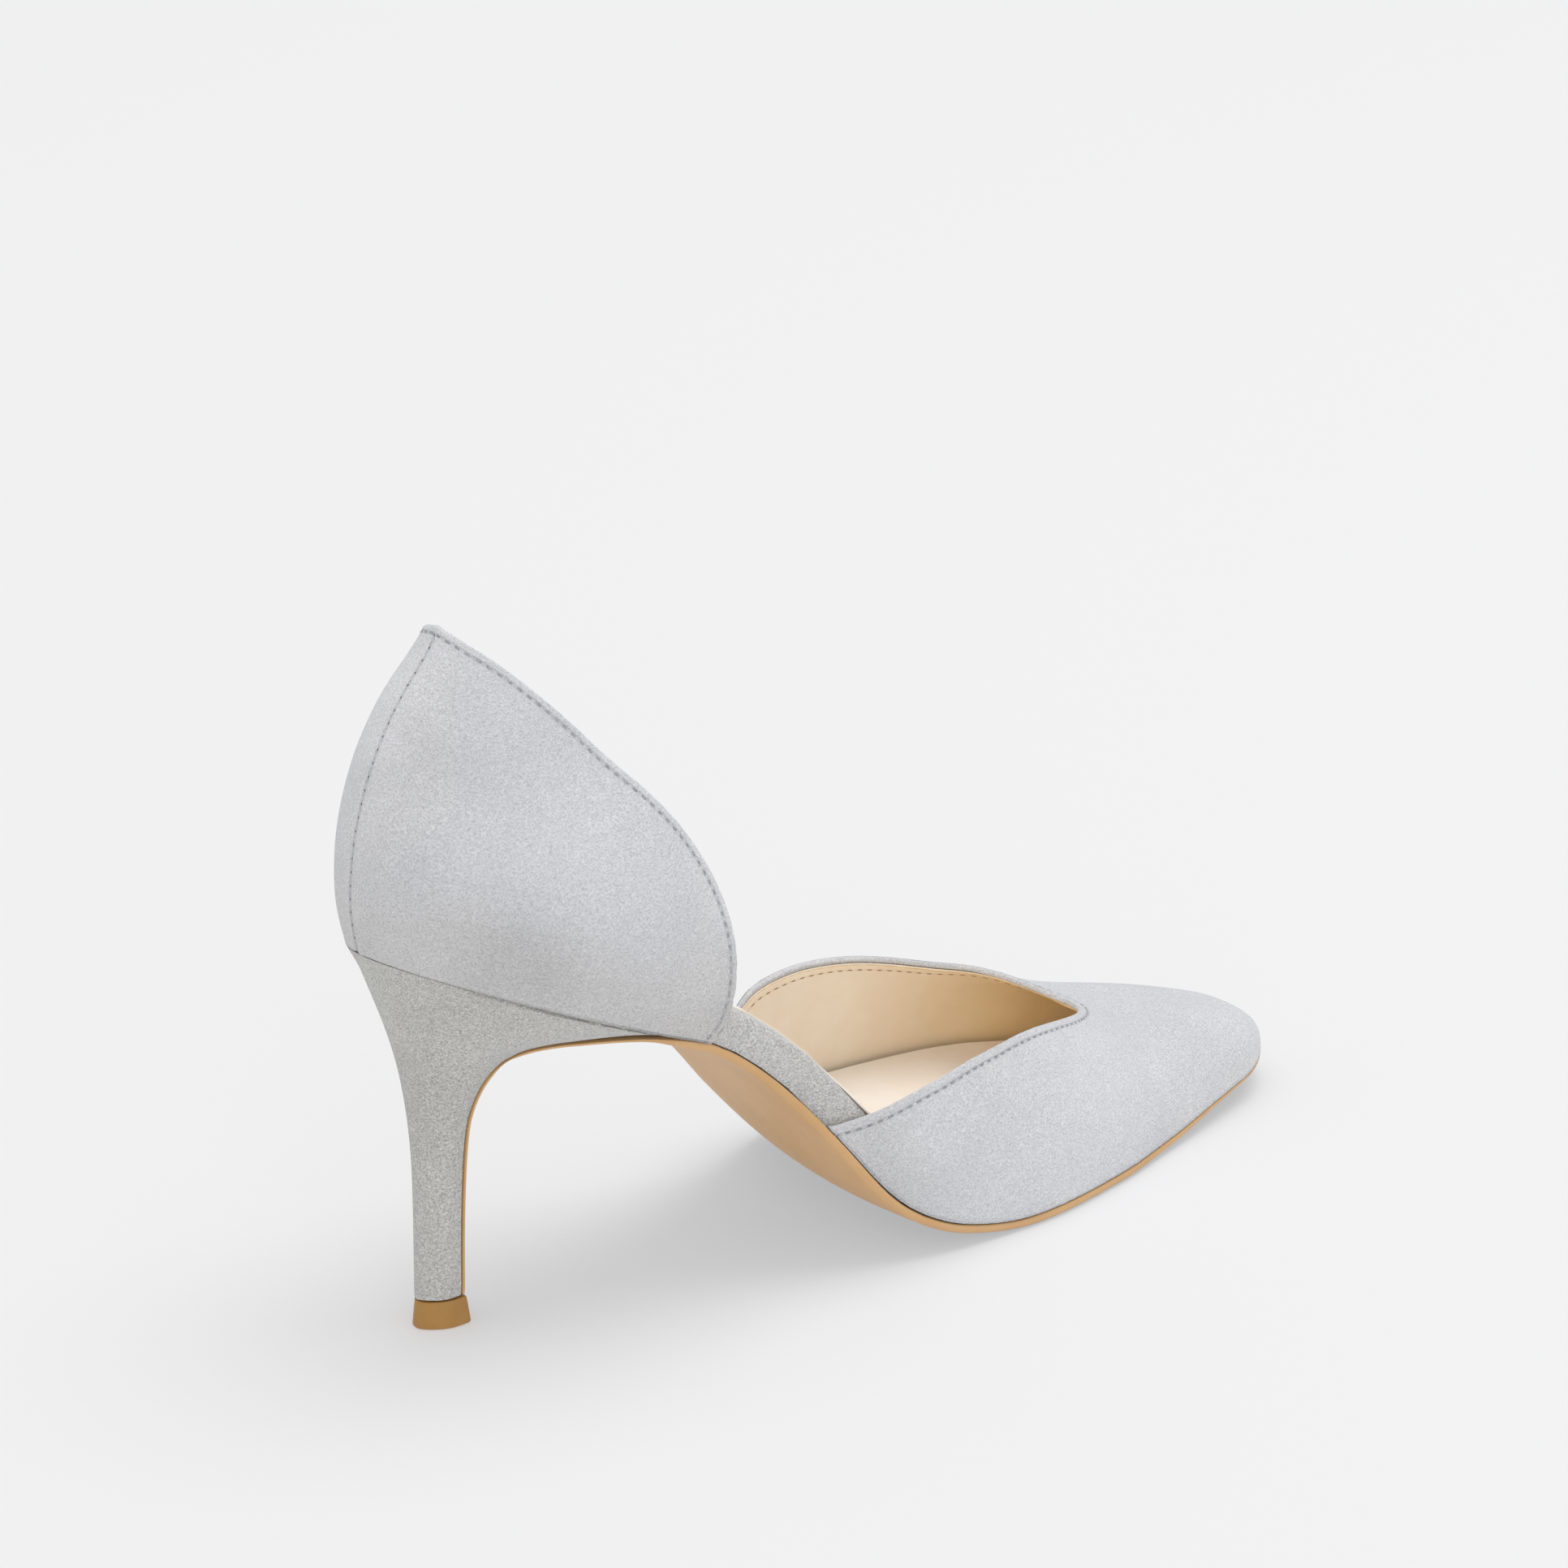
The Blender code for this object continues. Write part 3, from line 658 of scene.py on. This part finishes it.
def makeUpper(nodeName, stitch, dents, liningDents, peak=0.0):
    suede, lining = skinsOf(nodeName, upper["sharp"])
    suede.name, lining.name = nodeName + "Suede", nodeName + "Lining"
    pinCorners(suede, upper["middle"], peak)
    pinCorners(lining, upper["middle"], peak)
    makeFiner(suede, upper["suedeLevels"])
    soften(suede, dents)
    topline, lower = rimLines(suede)
    pullEdge(suede, lower, -upper["lowerReach"], upper["lowerFade"])
    gap = keepGap(suede, "toplineGap", topline[0])
    pushOut(suede, upper["roll"] * mm * np.exp(-((gap / mm - upper["rollAt"]) / upper["rollWidth"]) ** 2))
    rows = [inset(suede, topline, stitch["gap"] * mm, upper["stitchPitch"] * mm)]

    makeFiner(lining, upper["liningLevels"])
    soften(lining, liningDents)
    pullEdge(lining, rimLines(lining)[0], upper["liningDrop"], upper["dropFade"])
    inner, innerLower = rimLines(lining)
    rows.append(inset(lining, inner, upper["liningStitchGap"] * mm, upper["stitchPitch"] * mm))

    for skin, rim, foot, thick, rounding in (
            (suede, topline, lower, upper["suedeThick"], upper["edgeRound"]),
            (lining, inner, innerLower, upper["liningThick"], upper["liningRound"])):
        applyModifier(skin, "SOLIDIFY", thickness=thick * mm, offset=-1.0, use_rim=True)
        weighRim(skin, rim, foot, thick + upper["rimSlack"])
        square = BVHTree.FromObject(skin, bpy.context.evaluated_depsgraph_get())
        applyModifier(skin, "BEVEL", width=rounding * mm, segments=3, limit_method="WEIGHT",
                      use_clamp_overlap=False)
        for vertex in skin.data.vertices:  # the rounding never strays from the shape that it rounds
            spot, _, _, away = square.find_nearest(vertex.co)
            if away > upper["stray"] * rounding * mm:
                vertex.co = spot
        gap = keepGap(skin, "toplineGap", rim[0])
        lowGap = keepGap(skin, "lowerGap", foot[0])
        if skin is suede:
            fuzzEdge(skin, np.minimum(gap, lowGap))
        smoothShade(skin, 60)
        print(skin.name, len(skin.data.polygons), "faces")
    return suede, lining, rows


vampDents = [  # start, end, width and depth in mm
    ((5, -36, 14), (16, -30, 24), 5.0, 0.25),
    ((22, 36, 14), (30, 29, 22), 5.0, 0.25),
    ((60, -22, 17), (75, -4, 23), 9.0, 0.20),
]
vampLiningDents = [
    ((2, 33, 14), (6, 29, 30), 3.0, -0.35),
    ((20, 33, 12), (24, 28, 28), 4.0, 0.35),
    ((40, 29, 9), (44, 25, 22), 3.5, -0.3),
]
vamp, vampLining, vampRows = makeUpper("vamp", vampStitch, vampDents, vampLiningDents)
# patches of nap brushed lighter or darker, and painted shade low at the back of the vamp's sides where they
# face down
brushSuedeLightAndShade(vamp, [  # middle, reach in mm, and how much lighter
    ((-13, -36, 21), 9, -0.10), ((-3, -36, 11), 11, -0.07), ((22, -30, 30), 10, -0.04),
    ((53, -30, 14), 14, 0.05), ((94, -14, 15), 12, -0.03), ((32, -35, 14), 12, 0.03),
    ((62, 6, 32), 10, 0.03), ((74, -4, 27), 15, -0.03), ((-10, -32, 34), 7, 0.05),
])
seat(vamp, "vamp", vampSuede)
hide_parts("vamp")
keepValue(vampLining, "deepGap", [max(0.0, toeFrom * mm - v.co.x) for v in vampLining.data.vertices])
seat(vampLining, "vamp", toeLining)
seat(sewStitches("vampStitches", vampRows[0], vampStitch), "vamp", greyThread)
seat(sewStitches("vampLiningStitches", vampRows[1], liningStitch), "vamp", tanThread)

quarterDents = [
    ((-100, -22, 70), (-85, -29, 68), 7.0, 0.2),
    ((-62, -30, 80), (-52, -28, 95), 8.0, 0.25),
    ((-80, -26, 100), (-66, -25, 112), 9.0, 0.2),
]
quarterLiningDents = [((-75, -22, 85), (-72, -17, 110), 6.0, 0.25)]
quarterPeak = 0.6  # how sharp its point at the back stays
quarter, quarterLining, quarterRows = makeUpper(
    "quarter", quarterStitch, quarterDents, quarterLiningDents, quarterPeak)

# centre-back seam: a valley between two panels, with the thread showing in it
backSeam = {
    "reach": 24.0, "facing": -0.2,             # how far from the back it may be, mm, and how it faces
    "valley": 0.3, "valleyWidth": 0.6,
    "ridge": 0.1, "ridgeAt": -1.5, "ridgeWidth": 0.7,
    "clear": 2.0, "fadeFrom": 0.8, "fadeOver": 1.8,  # under the topline, mm
    "pitch": 2.7, "length": 0.7, "width": 0.5, "stand": -0.12,
    "lookUps": 160,                            # heights at which the back is found
}


def sewBackSeam():
    points = np.array([v.co for v in quarter.data.vertices])
    normals = np.array([v.normal for v in quarter.data.vertices])
    start = points[:, 0].min()
    near = points[:, 0] < start + backSeam["reach"] * mm
    side = points[:, 1] - upper["middle"] * mm
    gap = np.array([d.value for d in quarter.data.attributes["toplineGap"].data])
    fade = np.clip((gap / mm - backSeam["fadeFrom"]) / backSeam["fadeOver"], 0, 1)
    keepValue(quarter, "seamGap", np.where(near, np.abs(side) + (1 - fade) * mm, 1.0))
    outside = near & (normals[:, 0] < backSeam["facing"])
    ridge = backSeam["ridge"] * np.exp(-((side / mm - backSeam["ridgeAt"]) / backSeam["ridgeWidth"]) ** 2)
    valley = backSeam["valley"] * np.exp(-(side / mm / backSeam["valleyWidth"]) ** 2)
    pushOut(quarter, np.where(outside, (ridge - valley) * fade * mm, 0))
    surface = BVHTree.FromObject(quarter, bpy.context.evaluated_depsgraph_get())
    low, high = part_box("quarter")
    line = []
    for z in np.linspace(low.z, high.z - backSeam["clear"] * mm, backSeam["lookUps"]):
        behind = Vector((low.x - 50 * mm, upper["middle"] * mm, z))
        spot, normal, _, _ = surface.ray_cast(behind, Vector((1, 0, 0)))
        if spot is None or spot.x > start + backSeam["reach"] * mm:
            continue
        if normal.x < backSeam["facing"]:
            line.append(np.array(spot))
    points, along = spaced(np.array(line), backSeam["pitch"] * mm)
    places = [(p, a, np.array(surface.find_nearest(Vector(p))[1])) for p, a in zip(points[1:], along[1:])]
    return sewStitches("backSeamStitches", places, backSeam)


seat(sewBackSeam(), "quarter", seamThread)
# patches of nap brushed lighter or darker, and a painted highlight up the back edge where the suede's sheen
# shows as it turns away
brushSuedeLightAndShade(quarter, [
    ((-94, -20, 121), 9, -0.06), ((-76, -20, 125), 9, -0.05), ((-110, -15, 102), 8, -0.05),
    ((-97, -24, 89), 9, -0.05), ((-88, -28, 83), 8, -0.05), ((-55, -29, 85), 7, -0.05),
    ((-102, -19, 111), 8, 0.04), ((-80, -24, 108), 12, 0.02),
    ((-97, -3, 140), 8, 0.11), ((-102, -3, 133), 7, 0.08), ((-107, -3, 126), 8, 0.08),
    ((-112, -3, 116), 7, 0.05), ((-114, 2, 92), 9, 0.08), ((-43, -26, 80), 5, 0.08),
])
seat(quarter, "quarter", quarterSuede)
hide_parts("quarter")
seat(quarterLining, "quarter", liningLeather)
seat(sewStitches("quarterStitches", quarterRows[0], quarterStitch), "quarter", paleThread)
seat(sewStitches("quarterLiningStitches", quarterRows[1], liningStitch), "quarter", tanThread)


# footbed: a suede-wrapped board with a cream sock on top

footbed = {
    "round": 0.5, "corner": 35.0,              # the board's rounded corners, mm, and their least angle
    "sink": 0.2, "underFacing": -0.3,          # how far its underside goes down, mm, and how that faces
    "sockThick": 0.35, "sockRound": 0.25, "sockCuts": 7,
    "topFacing": 0.25, "topAcross": 4.0,       # a face of the board's top: its slope and least width, mm
    "open": ((-42.7, -21.7), (-42.6, -9.2)),   # where the edge is bare, on the outer and the inner side, mm
    "openFade": 8.0,
    "bareInset": 1.0, "hiddenReach": 1.4,      # the sock's edge: inside the bare board's, out to the lining
    # the sock's rise at its edge: place along the shoe and height, mm
    "curl": ((-12, 0.0), (0, 0.4), (8, 0.7), (27, 1.3), (49, 2.3), (61, 2.6), (82, 2.0), (100, 0.5)),
    "curlFrom": 0.55, "outerCurl": 0.6,        # share of the half width where it starts, and the outer side's
}
bandTone = dict(suedeTone, light=(210, 209, 206), shade=(200, 199, 196), cool=(206, 206, 206), contrast=0.4)
sockTone = {"light": (254, 247, 239), "shade": (251, 242, 231), "poreSize": 1.3, "polish": 0.4,
            "bump": 0.1, "gloss": 0.3, "coat": 0.0}
bandSuede = suedeFinish("bandSuede", bandTone, [])
sockLeather = leatherFinish("sockLeather", sockTone)


def makeFootbed():
    board = copyNode("insole", "footbedBand")
    sock = bpy.data.objects.new("footbedSock", board.data.copy())
    bpy.context.scene.collection.objects.link(sock)
    for face in sock.data.polygons:  # the sock starts as the board's top faces
        across = np.ptp([sock.data.vertices[k].co.y for k in face.vertices])
        face.select = not (face.normal.z > footbed["topFacing"] and across > footbed["topAcross"] * mm)
    openMesh(sock, "FACE")
    bpy.ops.mesh.delete(type="FACE")
    closeMesh()

    ends = np.array([v.co for v in sock.data.vertices])
    sides = []
    for way in (-1, 1):
        rim = ends[way * (ends[:, 1] - upper["middle"] * mm) > 0]
        sides.append(rim[np.argsort(rim[:, 0])])
    openMesh(sock, "FACE")
    bpy.ops.mesh.select_all(action="SELECT")
    bpy.ops.mesh.subdivide(number_cuts=footbed["sockCuts"])
    closeMesh()

    points = np.array([v.co for v in sock.data.vertices])
    outer, inner = (np.interp(points[:, 0], rim[:, 0], rim[:, 1]) for rim in sides)
    across = np.clip((2 * points[:, 1] - outer - inner) / (inner - outer), -1, 1)
    along, fade = points[:, 0] / mm, footbed["openFade"]
    curl = np.interp(along, *zip(*footbed["curl"]))
    for way, (back, front) in zip((-1, 1), footbed["open"]):
        share = np.clip(across * way, 0, 1)
        bare = ease((along - back) / fade + 1) * ease((front - along) / fade + 1)
        out = footbed["hiddenReach"] * (1 - bare) - footbed["bareInset"] * bare
        points[:, 1] += way * out * mm * share ** 4
        lift = np.clip((share - footbed["curlFrom"]) / (1 - footbed["curlFrom"]), 0, 1) ** 2
        points[:, 2] += curl * mm * lift * (1.0 if way > 0 else footbed["outerCurl"])
    sock.data.vertices.foreach_set("co", points.astype(np.float32).ravel())
    sock.data.update()
    return board, sock


def sinkBoard(piece):
    # its underside goes down to the sole, and only the corners over that are marked for rounding
    shape = bmesh.new()
    shape.from_mesh(piece.data)
    weight = shape.edges.layers.float.new("bevel_weight_edge")
    under = {v for f in shape.faces if f.normal.z < footbed["underFacing"] for v in f.verts}
    corner = math.radians(footbed["corner"])
    for edge in shape.edges:
        if edge.is_manifold and edge.calc_face_angle() > corner and not set(edge.verts) & under:
            edge[weight] = 1.0
    for vertex in under:
        vertex.co.z -= footbed["sink"] * mm
    shape.to_mesh(piece.data)
    shape.free()


board, sock = makeFootbed()
sinkBoard(board)
applyModifier(board, "BEVEL", width=footbed["round"] * mm, segments=3, limit_method="WEIGHT")
smoothShade(board, 50)
seat(board, "insole", bandSuede)
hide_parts("insole")
applyModifier(sock, "SOLIDIFY", thickness=footbed["sockThick"] * mm, offset=1.0)
applyModifier(sock, "BEVEL", width=footbed["sockRound"] * mm, segments=2, limit_method="ANGLE",
              angle_limit=math.radians(50))
smoothShade(sock, 50)
seat(sock, "insole", sockLeather)
print("footbed", len(board.data.polygons), len(sock.data.polygons))


# sole, heel and tip: the CAD shapes with their edges eased and rounder lines

soleEdge = {"sharp": 30.0, "crease": 0.9, "levels": 2}
heelEdge = {"sharp": 40.0, "crease": 0.85, "levels": 2}
tipEdge = {"sharp": 40.0, "crease": 0.8, "levels": 2}
soleTone = {"light": (222, 178, 126), "shade": (213, 168, 115), "poreSize": 1.1, "polish": 0.55,
            "bump": 0.10, "gloss": 0.45, "coat": 0.12, "bounce": (112, 112, 114)}
heelTone = dict(suedeTone, light=(197, 196, 191), shade=(185, 184, 178), cool=(191, 190, 187), contrast=0.42,
                fibreSize=0.95, bump=1.0)
tipTone = {"light": (183, 135, 68), "shade": (169, 120, 57), "poreSize": 0.7, "polish": 0.62,
           "bump": 0.06, "gloss": 0.5, "coat": 0.15}


def roundedCopy(nodeName, pieceName, edge):
    piece = copyNode(nodeName, pieceName)
    openMesh(piece, "EDGE")
    bpy.ops.mesh.select_all(action="DESELECT")
    bpy.ops.mesh.edges_select_sharp(sharpness=math.radians(edge["sharp"]))
    bpy.ops.transform.edge_crease(value=edge["crease"])
    closeMesh()
    applyModifier(piece, "SUBSURF", levels=edge["levels"], render_levels=edge["levels"])
    smoothShade(piece, 40)
    print(pieceName, len(piece.data.polygons), "faces")
    return piece


soleLeather = leatherFinish("soleLeather", soleTone)
outsole = seat(roundedCopy("outsole", "outsoleLeather", soleEdge), "outsole", soleLeather)
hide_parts("outsole")
heelSuede = suedeFinish("heelSuede", heelTone, [])
heel = seat(roundedCopy("heel", "heelCover", heelEdge), "heel", heelSuede)
# painted light makes the heel lighter low down and up its back edge; it is also lighter on two patches of its
# side
brushSuedeLightAndShade(heel, [
    ((-97, -2, 22), 26, 0.09), ((-109, -2, 60), 12, 0.06),
    ((-91, -23, 68), 9, 0.05), ((-76, -20, 62), 10, 0.05),
])
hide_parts("heel")
tipRubber = leatherFinish("tipRubber", tipTone)
tip = seat(roundedCopy("heel_tip", "heelTip", tipEdge), "heel_tip", tipRubber)
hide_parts("heel_tip")


# stage: pale floor, soft studio light, and the camera at the photo's angle

stage = {"floorSize": 12.0, "floorTone": (189, 189, 190), "floorGlow": 0.375, "worldLight": 0.615}
softboxes = {  # metres and watts
    "topSoftbox": {"place": (0.9, 0.1, 2.95), "aim": (0, 0, 0), "size": 2.6, "power": 40.0},
    "frontSoftbox": {"place": (-0.9, -1.6, 0.8), "aim": (0, 0, 0.06), "size": 1.4, "power": 5.5},
}
view = {"azimuth": -37.08, "elevation": 21.64, "distance": 1.502, "aim": (-1.81, -2.38, 62.0),
        "lens": 171.3, "sensor": 36.0, "shift": (-0.0245, 0.0880)}


def addSoftbox(name, settings):
    bpy.ops.object.light_add(type="AREA", location=settings["place"])
    light = bpy.context.active_object
    light.name = name
    light.data.shape = "DISK"
    light.data.size = settings["size"]
    light.data.energy = settings["power"]
    toward = Vector(settings["aim"]) - Vector(settings["place"])
    light.rotation_euler = toward.to_track_quat("-Z", "Y").to_euler()


def setStage():
    bpy.ops.mesh.primitive_plane_add(size=stage["floorSize"])
    floor = bpy.context.active_object
    floor.name = "floor"
    material, _, shader = newMaterial("paleFloor")
    shader.inputs["Base Color"].default_value = linear(*stage["floorTone"])
    shader.inputs["Emission Color"].default_value = (1.0, 1.0, 1.0, 1.0)
    shader.inputs["Emission Strength"].default_value = stage["floorGlow"]
    shader.inputs["Roughness"].default_value = 0.9
    shader.inputs["Specular IOR Level"].default_value = 0.0
    floor.data.materials.append(material)
    world = bpy.data.worlds.new("studio")
    world.use_nodes = True
    sky = world.node_tree.nodes["Background"]
    sky.inputs["Color"].default_value = (1.0, 1.0, 1.0, 1.0)
    sky.inputs["Strength"].default_value = stage["worldLight"]
    bpy.context.scene.world = world
    for name, settings in softboxes.items():
        addSoftbox(name, settings)
    bpy.context.scene.view_settings.view_transform = "Standard"
    bpy.context.scene.view_settings.look = "None"


def setCamera():
    turn, rise = math.radians(view["azimuth"]), math.radians(view["elevation"])
    toward = Vector((math.sin(turn) * math.cos(rise), -math.cos(turn) * math.cos(rise), math.sin(rise)))
    aim = Vector(view["aim"]) * mm
    bpy.ops.object.camera_add(location=aim + toward * view["distance"])
    camera = bpy.context.active_object
    camera.rotation_euler = (-toward).to_track_quat("-Z", "Y").to_euler()
    camera.data.lens = view["lens"]
    camera.data.sensor_width = view["sensor"]
    camera.data.shift_x, camera.data.shift_y = view["shift"]
    bpy.context.scene.camera = camera


setStage()
setCamera()
print("stage set")
